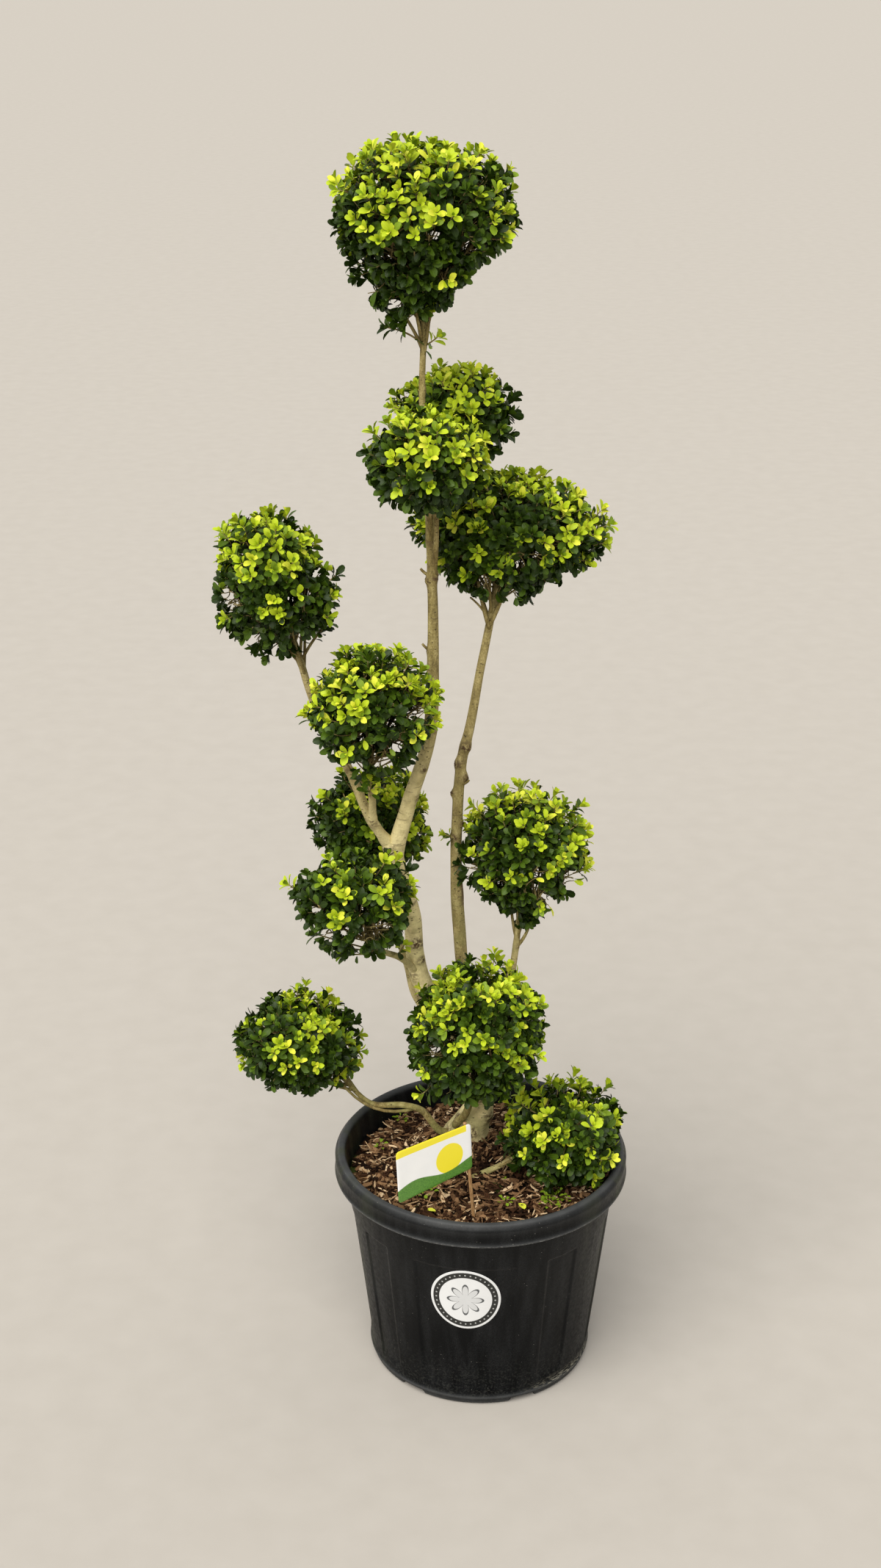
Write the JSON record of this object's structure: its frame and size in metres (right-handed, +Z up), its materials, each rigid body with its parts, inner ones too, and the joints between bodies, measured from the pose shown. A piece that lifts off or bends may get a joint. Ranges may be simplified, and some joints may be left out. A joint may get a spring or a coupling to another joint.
{
  "type": "cloud-pruned small-leaved holly in a nursery pot",
  "caption": "Small-leaved holly clipped into leafy balls on bare branching stems, standing in a round black nursery pot filled with bark mulch.",
  "frame": {"origin": "middle of the pot's flat underside, on the ground", "axes": "+Z up; -Y is the front that the picture shows, with the round sticker; +X is to the right seen from the front"},
  "size_m": [0.5637, 0.4272, 1.7321],
  "materials": {
    "pot_plastic": "blow-moulded black plastic with a satin sheen, dusty scuffs and a worn lip",
    "sticker_film": "white film sticker with a plain black ring",
    "card_plastic": "printed plastic plant card in white, yellow and green",
    "cane_wood": "split bamboo, dry and satin",
    "bark_mulch": "loose brown bark chips over compost",
    "bark": "smooth olive-beige bark with knots and pruning scars",
    "foliage": "small leathery leaves, dark green inside and lime green at the new tips"
  },
  "bodies": {
    "root": {"pot": "pot_plastic", "pot_sticker": "sticker_film", "bark_mulch": "bark_mulch", "label_cane": "cane_wood", "label_card": "card_plastic", "trunk": "bark", "leader_stem": "bark", "far_left_bough": "bark", "mid_left_bough": "bark", "right_trunk": "bark", "right_ball_stem": "bark", "back_left_stem": "bark", "lower_left_bough": "bark", "front_stem": "bark", "low_left_branch": "bark", "low_right_branch": "bark", "upper_front_bough": "bark", "upper_back_bough": "bark", "foliage_top": "foliage", "foliage_upper_back": "foliage", "foliage_upper_front": "foliage", "foliage_upper_right": "foliage", "foliage_far_left": "foliage", "foliage_mid_left": "foliage", "foliage_back_left": "foliage", "foliage_lower_left": "foliage", "foliage_low_left": "foliage", "foliage_middle": "foliage", "foliage_right": "foliage", "foliage_low_right": "foliage"}
  },
  "joints": []
}
